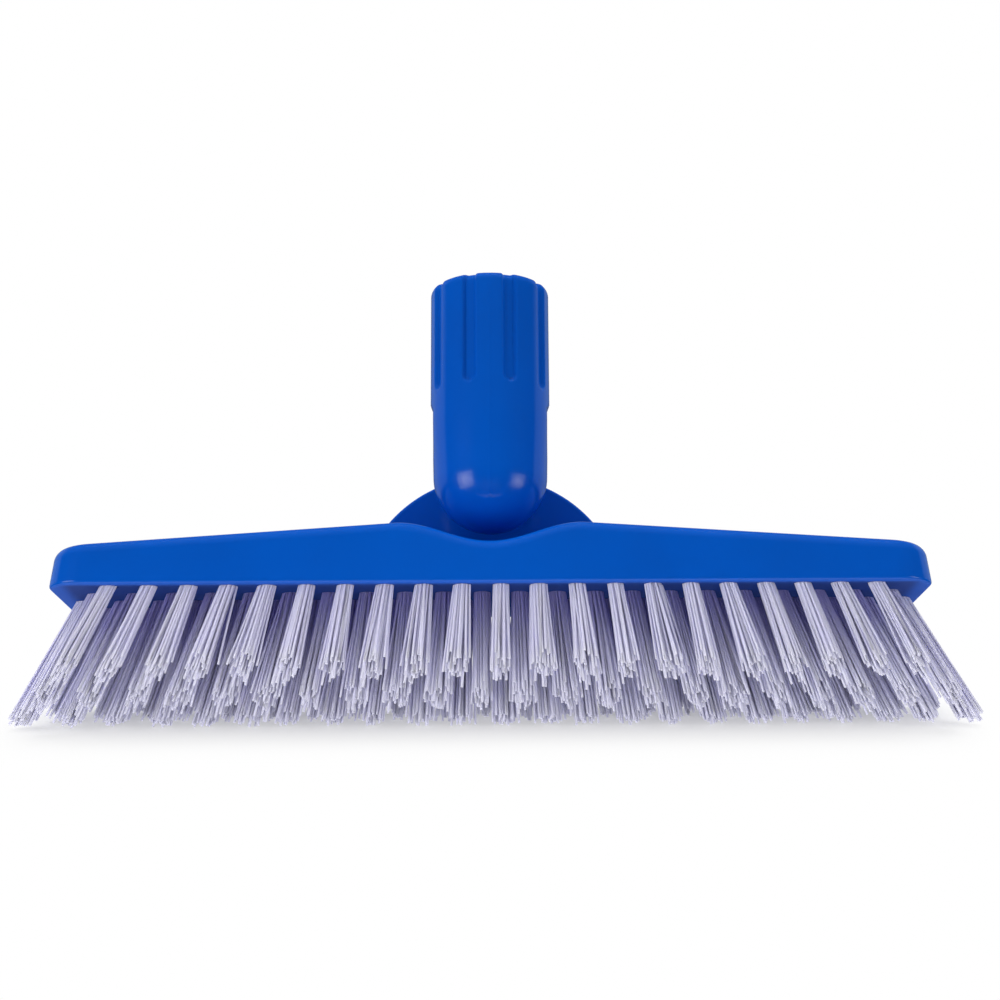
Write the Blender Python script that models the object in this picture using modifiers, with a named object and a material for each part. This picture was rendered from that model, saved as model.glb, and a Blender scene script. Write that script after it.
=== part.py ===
# Swivel grout brush head: a long moulded block with a V-trimmed bristle fan and a handle socket
# that swings from side to side on one cross bolt. Units are metres, +Z is up, +X runs along the
# block, and the trimmed ridge of the bristles stands on z = 0.

import math

import bmesh
import bpy
from mathutils import Matrix, Vector

# Clearances
FIT = 0.0003                # gap between a piece and the neighbour that holds it
RUNNING_GAP = 0.0005        # gap between the turning socket and the arch behind it

# Bristle field
ROWS = 5
ROW_PITCH = 0.010
TUFT_PITCH = 0.00995
TUFT_END_MARGIN = 0.0055    # least distance from the last tuft's axis to the end of the block
REACH = 0.0337              # from the underside of the block to the trimmed ridge
TRIM_ANGLE = math.radians(32.2)
FLAT_CUT = 0.0005           # how deep the ridge of the V is cut flat
FAN_ANGLE = math.radians(26.0)      # lean of the end tuft of every row
STRAND_SPACING_ROOT = 0.0021
STRAND_SPACING_TIP = 0.0029
STRAND_WIDTH_ROOT = 0.0017
STRAND_WIDTH_TIP = 0.0023
STRAND_EMBED = 0.0010       # how far a strand runs up into its backing

# Backing slices and the flat wire that anchors each tuft
SLICE_WIDTH = 0.0054
SLICE_DEPTH = 0.0030
SLICE_END_MARGIN = 0.0032   # from the axis of an end tuft to the end of its slice
ANCHOR_LENGTH = 0.0048
ANCHOR_HEIGHT = 0.0017
ANCHOR_THICKNESS = 0.0005

# Block
BLOCK_LENGTH = 0.2305
EDGE_MARGIN = 0.0046        # from the outer rows to the long faces
END_HEIGHT = 0.0104
MID_HEIGHT = 0.0179
END_DRAFT = math.radians(8.0)
PLAN_CORNER = 0.008
TOP_ROUND = 0.0030
BOTTOM_ROUND = 0.0012
SCOOP_HALF_WIDTH = 0.024
SCOOP_DEPTH = 0.0065

# Arch and lug that carry the pivot
ARCH_RADIUS = 0.0372
ARCH_CENTRE_HEIGHT = 0.0018     # above the underside
ARCH_THICKNESS = 0.0072
ARCH_EDGE_ROUND = 0.0009
LUG_RADIUS = 0.0145

# Handle socket
PIVOT_HEIGHT = 0.0340       # above the underside
DOME_RADIUS = 0.0155
BARREL_RADIUS = 0.0156
SLEEVE_RADIUS = 0.0163
SHOULDER_RISE = 0.0200      # pivot to the lower end of the thicker sleeve
SHOULDER_SLOPE = 0.0008
RIM_RISE = 0.0540           # pivot to the top of the rim
RIM_ROUND = 0.0024
BORE_RADIUS = 0.0112
BORE_DEPTH = 0.045
BORE_LEAD_IN = 0.0008
FLUTES = 9
FLUTE_RADIUS = 0.0019
FLUTE_DEPTH = 0.0011
FLUTE_END_RISE = 0.0234     # pivot to the rounded lower end of the flutes

# Pivot hardware, M6
BOLT_RADIUS = 0.0030
BOLT_TIP_Y = 0.0
HEAD_RADIUS = 0.0055
HEAD_HEIGHT = 0.0024
HEAD_ROUND = 0.0008
HEX_RECESS_FLATS = 0.0040
HEX_RECESS_DEPTH = 0.0014
PIVOT_WASHER_RADIUS = 0.0060
PIVOT_WASHER_THICKNESS = 0.0010
NUT_FLATS = 0.0100
NUT_THICKNESS = 0.0050
NUT_CHAMFER = 0.0006
NUT_FRONT_Y = 0.0017
NUT_RING_RADIUS = 0.0042
NUT_RING_THICKNESS = 0.0012
FRICTION_WASHER_RADIUS = 0.0065
FRICTION_WASHER_THICKNESS = 0.0022

# Facets
CORNER_STEPS = 5
TOP_ROUND_STEPS = 3
BOTTOM_ROUND_STEPS = 2
ARCH_SIDE_STEPS = 10
ARCH_EDGE_STEPS = 2
LUG_STEPS = 12
SCOOP_STEPS = 16
DOME_STEPS = 8
RIM_STEPS = 3
SOCKET_SIDES = 54
SMALL_SIDES = 24
FLUTE_SIDES = 14
FLUTE_END_STEPS = 3
HEAD_ROUND_STEPS = 2

# Limits of the mesh work
SAME_POINT = 1e-6           # points closer than this are one point
SAME_PLANE = 0.001          # radians between faces that count as one plane
WALL_TILT = 0.3             # a face whose normal rises less than this is a wall
SHARP_EDGE = math.radians(40.0)     # an edge that turns more than this can be rounded
HEXAGON_EDGE = math.radians(80.0)   # the same for a nut, whose six upright edges stay sharp
SHARP_SHADING = math.radians(30.0)  # an edge that turns more than this is drawn sharp

# Places worked out from the sizes above
UNDERSIDE = REACH
BLANK_TOP = UNDERSIDE + 2 * MID_HEIGHT      # of the blank that the block is cut from
BLOCK_DEPTH = (ROWS - 1) * ROW_PITCH + 2 * EDGE_MARGIN
TOP_SLOPE = (MID_HEIGHT - END_HEIGHT) / (BLOCK_LENGTH / 2)
ANCHOR_SEAT_Z = UNDERSIDE + SLICE_DEPTH + FIT
ARCH_FOOT_Z = ANCHOR_SEAT_Z + ANCHOR_HEIGHT + FIT
PIVOT_Z = UNDERSIDE + PIVOT_HEIGHT
ARCH_FACE_Y = SLEEVE_RADIUS + RUNNING_GAP
ARCH_BACK_Y = ARCH_FACE_Y + ARCH_THICKNESS
HOLE_RADIUS = BOLT_RADIUS + FIT
HEAD_SEAT_Y = ARCH_BACK_Y - HEAD_HEIGHT
COUNTERBORE_Y = HEAD_SEAT_Y - FIT - PIVOT_WASHER_THICKNESS - FIT
FRICTION_BACK_Y = ARCH_FACE_Y - FIT
SPOT_FACE_Y = FRICTION_BACK_Y - FRICTION_WASHER_THICKNESS - FIT
TRIM_SLOPE = math.tan(TRIM_ANGLE)

BLUE = (0.004, 0.085, 0.520, 1.0)
NYLON = (0.60, 0.58, 0.74, 1.0)
STEEL = (0.55, 0.56, 0.58, 1.0)
ACETAL = (0.82, 0.82, 0.80, 1.0)


def clear_scene():
    for obj in list(bpy.data.objects):
        bpy.data.objects.remove(obj, do_unlink=True)


def make_collection(name):
    collection = bpy.data.collections.new(name)
    bpy.context.scene.collection.children.link(collection)
    return collection


def make_material(name, colour, roughness, metallic):
    material = bpy.data.materials.new(name)
    material.use_nodes = True
    shader = material.node_tree.nodes["Principled BSDF"]
    shader.inputs["Base Color"].default_value = colour
    shader.inputs["Roughness"].default_value = roughness
    shader.inputs["Metallic"].default_value = metallic
    return material


def mesh_from(bm, name):
    mesh = bpy.data.meshes.new(name)
    bm.to_mesh(mesh)
    bm.free()
    return mesh


def add_object(name, mesh, collection, material=None):
    obj = bpy.data.objects.new(name, mesh)
    collection.objects.link(obj)
    if material:
        mesh.materials.append(material)
    return obj


def add_cutter(name, mesh):
    cutter = add_object(name, mesh, cutters)
    cutter.hide_render = True
    cutter.display_type = "WIRE"
    return cutter


def add_boolean(obj, operation, operand):
    modifier = obj.modifiers.new(operand.name, "BOOLEAN")
    modifier.operation = operation
    modifier.solver = "EXACT"
    modifier.object = operand


def bake_modifiers(obj):
    bpy.context.view_layer.update()
    evaluated = obj.evaluated_get(bpy.context.evaluated_depsgraph_get())
    mesh = bpy.data.meshes.new_from_object(evaluated)
    obj.modifiers.clear()
    obj.data = mesh


def round_edges(obj, width, steps, sharper_than=SHARP_EDGE):
    bevel = obj.modifiers.new("edges", "BEVEL")
    bevel.width = width
    bevel.segments = steps
    bevel.limit_method = "ANGLE"
    bevel.angle_limit = sharper_than


def shade_round(obj):
    obj.data.shade_smooth()
    obj.data.set_sharp_from_angle(angle=SHARP_SHADING)


def arc(centre, radius, start, end, steps):
    """Points on an arc, both ends included, with angles in radians."""
    points = []
    for step in range(steps + 1):
        angle = start + (end - start) * step / steps
        points.append((centre[0] + radius * math.cos(angle), centre[1] + radius * math.sin(angle)))
    return points


def outline_mesh(name, points, thickness):
    """A flat outline in XY, filled and given a thickness that is centred on z = 0."""
    curve = bpy.data.curves.new(name, "CURVE")
    curve.dimensions = "2D"
    curve.fill_mode = "BOTH"
    curve.extrude = thickness / 2
    spline = curve.splines.new("POLY")
    spline.points.add(len(points) - 1)
    for point, (x, y) in zip(spline.points, points):
        point.co = (x, y, 0.0, 1.0)
    spline.use_cyclic_u = True
    carrier = bpy.data.objects.new(name + "_outline", curve)
    cutters.objects.link(carrier)
    bpy.context.view_layer.update()
    evaluated = carrier.evaluated_get(bpy.context.evaluated_depsgraph_get())
    mesh = bpy.data.meshes.new_from_object(evaluated)
    bpy.data.objects.remove(carrier, do_unlink=True)
    bm = bmesh.new()
    bm.from_mesh(mesh)
    bmesh.ops.remove_doubles(bm, verts=bm.verts, dist=SAME_POINT)
    bmesh.ops.dissolve_limit(bm, angle_limit=SAME_PLANE, verts=bm.verts, edges=bm.edges)
    bmesh.ops.recalc_face_normals(bm, faces=bm.faces)
    bm.to_mesh(mesh)
    bm.free()
    return mesh


def upright(name, points, y_from, y_to):
    """An outline drawn in XY that stands up in the XZ plane, between two values of y."""
    mesh = outline_mesh(name, points, y_to - y_from)
    mesh.transform(Matrix.Rotation(math.radians(90.0), 4, "X"))
    mesh.transform(Matrix.Translation((0.0, (y_from + y_to) / 2, 0.0)))
    return mesh


def box_mesh(name, low, high):
    bm = bmesh.new()
    bmesh.ops.create_cube(bm, size=1.0)
    low, high = Vector(low), Vector(high)
    bmesh.ops.scale(bm, vec=high - low, verts=bm.verts)
    bmesh.ops.translate(bm, vec=(low + high) / 2, verts=bm.verts)
    return mesh_from(bm, name)


def cross_cylinder_mesh(name, radius, y_from, y_to, sides=SMALL_SIDES):
    """A cylinder or prism along Y through the pivot axis, in the socket's own frame."""
    bm = bmesh.new()
    matrix = (Matrix.Translation((0.0, (y_from + y_to) / 2, 0.0))
              @ Matrix.Rotation(math.radians(90.0), 4, "X"))
    bmesh.ops.create_cone(bm, cap_ends=True, segments=sides, radius1=radius, radius2=radius,
                          depth=y_to - y_from, matrix=matrix)
    return mesh_from(bm, name)


def hex_radius(flats):
    """Centre to corner of a hexagon of the given width across its flats."""
    return flats / 2 / math.cos(math.pi / 6)


def turned_object(name, profile, sides, collection, material=None):
    """Turn an open (radius, z) profile about the object's own Z axis with a Screw modifier."""
    bm = bmesh.new()
    verts = [bm.verts.new((radius, 0.0, z)) for radius, z in profile]
    for first, second in zip(verts, verts[1:]):
        bm.edges.new((first, second))
    obj = add_object(name, mesh_from(bm, name), collection, material)
    screw = obj.modifiers.new("turn", "SCREW")
    screw.axis = "Z"
    screw.steps = sides
    screw.render_steps = sides
    screw.use_merge_vertices = True
    screw.merge_threshold = SAME_POINT
    return obj


def top_height(x):
    """Height of the block's top above its underside, before the scoop."""
    return MID_HEIGHT - TOP_SLOPE * abs(x)


def trim_drop(y):
    """How far below the underside the V trim lies at y, before its ridge is cut flat."""
    return REACH + FLAT_CUT - TRIM_SLOPE * abs(y)


def row_y(row):
    return (row - (ROWS - 1) / 2) * ROW_PITCH


def tufts_in(row):
    """As many as the block has room for in the middle row, and one fewer in each row further out."""
    to_each_side = math.floor((BLOCK_LENGTH / 2 - TUFT_END_MARGIN) / TUFT_PITCH)
    return 2 * to_each_side + 1 - abs(row - ROWS // 2)


def tuft_places(row):
    """(x, lean) of each tuft of a row; the lean grows evenly towards the ends."""
    count = tufts_in(row)
    last = (count - 1) / 2
    return [((i - last) * TUFT_PITCH, FAN_ANGLE * (i - last) / last) for i in range(count)]


def slice_half_length(row):
    return tuft_places(row)[-1][0] + SLICE_END_MARGIN


def add_strand(bm, x, y, lean, side_x, side_y):
    """One four-sided strand of a tuft, flaring downwards and cut to the V trim."""
    made = bmesh.ops.create_cone(bm, cap_ends=True, segments=4, radius1=1.0, radius2=1.0, depth=2.0,
                                 matrix=Matrix.Rotation(math.radians(45.0), 4, "Z"))
    for vert in made["verts"]:
        corner_x = math.copysign(0.5, vert.co.x)
        corner_y = math.copysign(0.5, vert.co.y)
        if vert.co.z > 0:
            spacing, width = STRAND_SPACING_ROOT, STRAND_WIDTH_ROOT
        else:
            spacing, width = STRAND_SPACING_TIP, STRAND_WIDTH_TIP
        strand_y = y + side_y * spacing / 2 + corner_y * width
        drop = -STRAND_EMBED if vert.co.z > 0 else trim_drop(strand_y)
        strand_x = x + side_x * spacing / 2 + corner_x * width + drop * math.tan(lean)
        vert.co = (strand_x, strand_y, UNDERSIDE - drop)


def build_bristle_row(row):
    """A slice of the backing with four strands a tuft, trimmed flat where the brush stands."""
    y = row_y(row)
    half = slice_half_length(row)
    name = "bristle_row_%d" % (row + 1)
    mesh = box_mesh(name, (-half, y - SLICE_WIDTH / 2, UNDERSIDE),
                    (half, y + SLICE_WIDTH / 2, UNDERSIDE + SLICE_DEPTH))
    obj = add_object(name, mesh, parts, nylon)
    bm = bmesh.new()
    for x, lean in tuft_places(row):
        for side_x in (-1, 1):
            for side_y in (-1, 1):
                add_strand(bm, x, y, lean, side_x, side_y)
    strands = add_cutter(name + "_strands", mesh_from(bm, name + "_strands"))
    add_boolean(obj, "UNION", strands)
    if abs(y) < SLICE_WIDTH / 2:
        floor = box_mesh("standing_cut", (-BLOCK_LENGTH, -SLICE_WIDTH, -2 * FLAT_CUT),
                         (BLOCK_LENGTH, SLICE_WIDTH, 0.0))
        add_boolean(obj, "DIFFERENCE", add_cutter("standing_cut", floor))
    bake_modifiers(obj)
    return obj


def anchor_mesh():
    """The short pieces of flat wire that hold the tufts, biting into the roof of their grooves."""
    bm = bmesh.new()
    height = ANCHOR_HEIGHT + FIT
    size = Matrix.Diagonal((ANCHOR_LENGTH, ANCHOR_THICKNESS, height, 1.0))
    for row in range(ROWS):
        for x, _ in tuft_places(row):
            place = Matrix.Translation((x, row_y(row), ANCHOR_SEAT_Z + height / 2))
            bmesh.ops.create_cube(bm, size=1.0, matrix=place @ size)
    return mesh_from(bm, "tuft_anchors")


def plan_outline():
    x = BLOCK_LENGTH / 2 - PLAN_CORNER
    y = BLOCK_DEPTH / 2 - PLAN_CORNER
    points = []
    for quarter, (sign_x, sign_y) in enumerate(((1, 1), (-1, 1), (-1, -1), (1, -1))):
        start = quarter * math.pi / 2
        points += arc((sign_x * x, sign_y * y), PLAN_CORNER, start, start + math.pi / 2, CORNER_STEPS)
    return points


def roof_outline():
    """Front view of what is kept of the blank: its top falls evenly from the middle to the ends."""
    far = BLOCK_LENGTH / 2 + PLAN_CORNER
    low = UNDERSIDE - MID_HEIGHT
    eaves = UNDERSIDE + top_height(far)
    return [(-far, low), (far, low), (far, eaves), (0.0, UNDERSIDE + MID_HEIGHT), (-far, eaves)]


def scoop_outline():
    """The hollow in front of the arch that keeps the block clear of the dome."""
    low = MID_HEIGHT - SCOOP_DEPTH
    brink = top_height(SCOOP_HALF_WIDTH)
    points = []
    for step in range(SCOOP_STEPS + 1):
        share = 2 * step / SCOOP_STEPS - 1
        height = low + (brink - low) * math.sin(share * math.pi / 2) ** 2
        points.append((share * SCOOP_HALF_WIDTH, UNDERSIDE + height))
    return points + [(SCOOP_HALF_WIDTH, BLANK_TOP), (-SCOOP_HALF_WIDTH, BLANK_TOP)]


def arch_outline():
    """The arch that rises behind the socket, with the round lug of the pivot on its crown."""
    arch_z = UNDERSIDE + ARCH_CENTRE_HEIGHT
    rise = PIVOT_Z - arch_z
    meet = (ARCH_RADIUS ** 2 - LUG_RADIUS ** 2 + rise ** 2) / (2 * rise)
    half = math.sqrt(ARCH_RADIUS ** 2 - meet ** 2)
    foot_angle = math.asin((ARCH_FOOT_Z - arch_z) / ARCH_RADIUS)
    meet_angle = math.atan2(meet, half)
    lug_angle = math.atan2(meet - rise, half)
    right = arc((0.0, arch_z), ARCH_RADIUS, foot_angle, meet_angle, ARCH_SIDE_STEPS)
    crown = arc((0.0, PIVOT_Z), LUG_RADIUS, lug_angle, math.pi - lug_angle, LUG_STEPS)
    left = [(-x, z) for x, z in reversed(right)]
    return right + crown[1:-1] + left


def lean_ends(mesh):
    """Draw the ends of the blank inwards as they rise, as a mould needs."""
    for vert in mesh.vertices:
        inwards = math.tan(END_DRAFT) * (vert.co.z - UNDERSIDE)
        vert.co.x -= math.copysign(inwards, vert.co.x)


def outer_rim(bm, facing):
    """Sharp edges between the outer walls and the faces that look up (1) or down (-1)."""
    found = []
    for edge in bm.edges:
        walls = [face for face in edge.link_faces
                 if abs(face.normal.z) < WALL_TILT and face.normal.dot(face.calc_center_median()) > 0]
        lids = [face for face in edge.link_faces if facing * face.normal.z > WALL_TILT]
        if walls and lids and edge.calc_face_angle(0.0) > SHARP_EDGE:
            found.append(edge)
    return found


def round_block_edges(mesh):
    """Round the block all the way round: widely at the top, narrowly at the underside."""
    bm = bmesh.new()
    bm.from_mesh(mesh)
    bmesh.ops.remove_doubles(bm, verts=bm.verts, dist=SAME_POINT)
    bmesh.ops.dissolve_limit(bm, angle_limit=SAME_PLANE, verts=bm.verts, edges=bm.edges)
    for facing, width, steps in ((1, TOP_ROUND, TOP_ROUND_STEPS),
                                 (-1, BOTTOM_ROUND, BOTTOM_ROUND_STEPS)):
        bm.normal_update()
        bmesh.ops.bevel(bm, geom=outer_rim(bm, facing), offset=width, segments=steps, profile=0.5,
                        affect="EDGES", clamp_overlap=True)
    bm.to_mesh(mesh)
    bm.free()


def build_block():
    plan = outline_mesh("brush_block", plan_outline(), BLANK_TOP - UNDERSIDE)
    plan.transform(Matrix.Translation((0.0, 0.0, (BLANK_TOP + UNDERSIDE) / 2)))
    lean_ends(plan)
    block = add_object("brush_block", plan, parts, plastic)
    roof = upright("block_roof", roof_outline(), -BLOCK_DEPTH, BLOCK_DEPTH)
    add_boolean(block, "INTERSECT", add_cutter("block_roof", roof))
    scoop = upright("scoop", scoop_outline(), -BLOCK_DEPTH, ARCH_FACE_Y)
    add_boolean(block, "DIFFERENCE", add_cutter("scoop", scoop))
    bake_modifiers(block)
    round_block_edges(block.data)
    arch = add_cutter("pivot_arch", upright("pivot_arch", arch_outline(), ARCH_FACE_Y, ARCH_BACK_Y))
    round_edges(arch, ARCH_EDGE_ROUND, ARCH_EDGE_STEPS)
    add_boolean(block, "UNION", arch)
    for name, radius, start in (("pivot_hole", HOLE_RADIUS, ARCH_FACE_Y - ARCH_THICKNESS),
                                ("head_counterbore", PIVOT_WASHER_RADIUS + FIT, COUNTERBORE_Y)):
        mesh = cross_cylinder_mesh(name, radius, start, BLOCK_DEPTH)
        mesh.transform(Matrix.Translation((0.0, 0.0, PIVOT_Z)))
        add_boolean(block, "DIFFERENCE", add_cutter(name, mesh))
    for row in range(ROWS):
        y = row_y(row)
        reach = slice_half_length(row) + FIT
        wide = SLICE_WIDTH / 2 + FIT
        channel = box_mesh("slice_channel", (-reach, y - wide, UNDERSIDE - FIT),
                           (reach, y + wide, ANCHOR_SEAT_Z))
        add_boolean(block, "DIFFERENCE", add_cutter("slice_channel_%d" % (row + 1), channel))
        narrow = ANCHOR_THICKNESS / 2 + FIT
        groove_end = tuft_places(row)[-1][0] + ANCHOR_LENGTH / 2 + FIT
        groove = box_mesh("anchor_groove", (-groove_end, y - narrow, ANCHOR_SEAT_Z - FIT),
                          (groove_end, y + narrow, ANCHOR_SEAT_Z + ANCHOR_HEIGHT))
        add_boolean(block, "DIFFERENCE", add_cutter("anchor_groove_%d" % (row + 1), groove))
    add_boolean(block, "UNION", add_cutter("tuft_anchors", anchor_mesh()))
    bake_modifiers(block)
    shade_round(block)
    return block


def socket_profile():
    """From the bore's floor up its wall, over the rim and down the outside to the dome."""
    bore_floor = RIM_RISE - BORE_DEPTH
    rim = arc((SLEEVE_RADIUS - RIM_ROUND, RIM_RISE - RIM_ROUND), RIM_ROUND, math.pi / 2, 0.0, RIM_STEPS)
    dome = arc((0.0, 0.0), DOME_RADIUS, 0.0, -math.pi / 2, DOME_STEPS)
    profile = [(0.0, bore_floor), (BORE_RADIUS, bore_floor), (BORE_RADIUS, RIM_RISE - BORE_LEAD_IN),
               (BORE_RADIUS + BORE_LEAD_IN, RIM_RISE)]
    profile += rim
    profile += [(SLEEVE_RADIUS, SHOULDER_RISE), (BARREL_RADIUS, SHOULDER_RISE - SHOULDER_SLOPE)]
    profile += dome[:-1] + [(0.0, -DOME_RADIUS)]
    return profile


def flute_cutters():
    """Round-ended grooves down the sleeve, none of them on the mould's parting line in front."""
    axis_radius = SLEEVE_RADIUS - FLUTE_DEPTH + FLUTE_RADIUS
    end = FLUTE_END_RISE + FLUTE_RADIUS
    profile = [(0.0, RIM_RISE + RIM_ROUND), (FLUTE_RADIUS, RIM_RISE + RIM_ROUND)]
    ball = arc((0.0, end), FLUTE_RADIUS, 0.0, -math.pi / 2, FLUTE_END_STEPS)
    profile += ball[:-1] + [(0.0, FLUTE_END_RISE)]
    groove = turned_object("flutes", profile, FLUTE_SIDES, cutters)
    bake_modifiers(groove)
    bm = bmesh.new()
    for index in range(FLUTES):
        angle = 2 * math.pi * (index + 0.5) / FLUTES
        turn = Matrix.Rotation(angle, 4, "Z") @ Matrix.Translation((0.0, -axis_radius, 0.0))
        copy = groove.data.copy()
        copy.transform(turn)
        bm.from_mesh(copy)
        bpy.data.meshes.remove(copy)
    groove.data = mesh_from(bm, "flutes")
    groove.hide_render = True
    groove.display_type = "WIRE"
    return groove


def build_socket(pivot):
    socket = turned_object("handle_socket", socket_profile(), SOCKET_SIDES, parts, plastic)
    socket.parent = pivot
    nut_reach = hex_radius(NUT_FLATS) + FIT
    pocket = box_mesh("nut_pocket", (-NUT_FLATS / 2 - FIT, NUT_FRONT_Y - FIT, -nut_reach),
                      (NUT_FLATS / 2 + FIT, NUT_FRONT_Y + NUT_THICKNESS + FIT, RIM_RISE - BORE_DEPTH + FIT))
    tools = [flute_cutters(), add_cutter("nut_pocket", pocket)]
    tools.append(add_cutter("bolt_hole", cross_cylinder_mesh(
        "bolt_hole", HOLE_RADIUS, BOLT_TIP_Y - FIT, 2 * SLEEVE_RADIUS)))
    tools.append(add_cutter("spot_face", cross_cylinder_mesh(
        "spot_face", FRICTION_WASHER_RADIUS + FIT, SPOT_FACE_Y, 2 * SLEEVE_RADIUS)))
    for tool in tools:
        tool.parent = pivot
        add_boolean(socket, "DIFFERENCE", tool)
    bake_modifiers(socket)
    shade_round(socket)
    return socket


def ring_object(name, radius, y_from, y_to, material):
    obj = add_object(name, cross_cylinder_mesh(name, radius, y_from, y_to), parts, material)
    hole = cross_cylinder_mesh(name + "_hole", HOLE_RADIUS, y_from - FIT, y_to + FIT)
    add_boolean(obj, "DIFFERENCE", add_cutter(name + "_hole", hole))
    return obj


def build_pivot_hardware(pivot):
    """Button-head bolt from behind, washers on both sides of the arch, captive nut with its ring."""
    bolt = add_object("pivot_bolt", cross_cylinder_mesh(
        "pivot_bolt", HEAD_RADIUS, HEAD_SEAT_Y, ARCH_BACK_Y), parts, steel)
    round_edges(bolt, HEAD_ROUND, HEAD_ROUND_STEPS)
    shank = cross_cylinder_mesh("bolt_shank", BOLT_RADIUS, BOLT_TIP_Y, HEAD_SEAT_Y + HEAD_HEIGHT / 2)
    add_boolean(bolt, "UNION", add_cutter("bolt_shank", shank))
    recess = cross_cylinder_mesh("hex_recess", hex_radius(HEX_RECESS_FLATS),
                                 ARCH_BACK_Y - HEX_RECESS_DEPTH, ARCH_BACK_Y + HEAD_HEIGHT, 6)
    add_boolean(bolt, "DIFFERENCE", add_cutter("hex_recess", recess))

    washer = ring_object("pivot_washer", PIVOT_WASHER_RADIUS, COUNTERBORE_Y + FIT,
                         COUNTERBORE_Y + FIT + PIVOT_WASHER_THICKNESS, steel)
    friction = ring_object("friction_washer", FRICTION_WASHER_RADIUS, SPOT_FACE_Y + FIT,
                           FRICTION_BACK_Y, acetal)

    nut = add_object("lock_nut", cross_cylinder_mesh(
        "lock_nut", hex_radius(NUT_FLATS), NUT_FRONT_Y, NUT_FRONT_Y + NUT_THICKNESS, 6), parts, steel)
    round_edges(nut, NUT_CHAMFER, 1, HEXAGON_EDGE)
    nut_hole = cross_cylinder_mesh("nut_hole", HOLE_RADIUS, NUT_FRONT_Y - FIT,
                                   NUT_FRONT_Y + NUT_THICKNESS + FIT)
    add_boolean(nut, "DIFFERENCE", add_cutter("nut_hole", nut_hole))
    ring_seat = cross_cylinder_mesh("ring_seat", NUT_RING_RADIUS + FIT, NUT_FRONT_Y - FIT,
                                    NUT_FRONT_Y + NUT_RING_THICKNESS + FIT)
    add_boolean(nut, "DIFFERENCE", add_cutter("ring_seat", ring_seat))
    ring = ring_object("nut_ring", NUT_RING_RADIUS, NUT_FRONT_Y, NUT_FRONT_Y + NUT_RING_THICKNESS, nylon)
    for name in ("bolt_shank", "hex_recess", "pivot_washer_hole", "friction_washer_hole", "nut_hole",
                 "ring_seat", "nut_ring_hole"):
        cutters.objects[name].parent = pivot
    for piece in (bolt, washer, friction, nut, ring):
        piece.parent = pivot
        bake_modifiers(piece)
        shade_round(piece)


clear_scene()
parts = make_collection("grout_brush")
cutters = make_collection("cutters")
plastic = make_material("blue_polypropylene", BLUE, 0.28, 0.0)
nylon = make_material("nylon_bristle", NYLON, 0.45, 0.0)
steel = make_material("plated_steel", STEEL, 0.30, 1.0)
acetal = make_material("white_acetal", ACETAL, 0.40, 0.0)

pivot_axis = bpy.data.objects.new("pivot_axis", None)
pivot_axis.location = (0.0, 0.0, PIVOT_Z)
parts.objects.link(pivot_axis)

build_block()
for row_index in range(ROWS):
    build_bristle_row(row_index)
build_socket(pivot_axis)
build_pivot_hardware(pivot_axis)
bpy.context.view_layer.update()
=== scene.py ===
# Looks of the swivel grout brush head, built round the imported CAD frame.
# Metres, +Z up, +X along the block, +Y from the open front towards the arch.

import math

import bmesh
import bpy
from mathutils import Matrix, Vector


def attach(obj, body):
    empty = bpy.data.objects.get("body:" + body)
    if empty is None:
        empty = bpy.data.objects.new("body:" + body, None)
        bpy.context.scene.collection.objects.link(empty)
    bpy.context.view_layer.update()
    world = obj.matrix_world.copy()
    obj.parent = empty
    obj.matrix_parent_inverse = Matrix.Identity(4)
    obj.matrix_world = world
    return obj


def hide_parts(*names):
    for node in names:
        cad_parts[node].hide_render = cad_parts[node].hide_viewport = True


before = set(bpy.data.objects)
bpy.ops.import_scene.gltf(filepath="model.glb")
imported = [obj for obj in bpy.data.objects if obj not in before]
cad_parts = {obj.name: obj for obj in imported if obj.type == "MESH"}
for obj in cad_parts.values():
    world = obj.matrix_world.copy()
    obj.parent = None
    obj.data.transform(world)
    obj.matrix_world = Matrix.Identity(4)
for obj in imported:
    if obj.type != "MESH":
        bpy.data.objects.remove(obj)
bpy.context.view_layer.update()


# A socket of a node, which formulas can use like a number.
class Wire:
    def __init__(self, net, socket):
        self.net = net
        self.socket = socket

    def __add__(self, other):
        return self.net.maths("ADD", self, other)

    def __sub__(self, other):
        return self.net.maths("SUBTRACT", self, other)

    def __rsub__(self, other):
        return self.net.maths("SUBTRACT", other, self)

    def __mul__(self, other):
        return self.net.maths("MULTIPLY", self, other)

    def __truediv__(self, other):
        return self.net.maths("DIVIDE", self, other)

    def __rtruediv__(self, other):
        return self.net.maths("DIVIDE", other, self)

    def __pow__(self, other):
        return self.net.maths("POWER", self, other)

    def __mod__(self, other):
        return self.net.maths("FLOORED_MODULO", self, other)

    def __lt__(self, other):
        return self.net.maths("LESS_THAN", self, other)

    def __gt__(self, other):
        return self.net.maths("GREATER_THAN", self, other)

    __radd__ = __add__
    __rmul__ = __mul__


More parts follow.
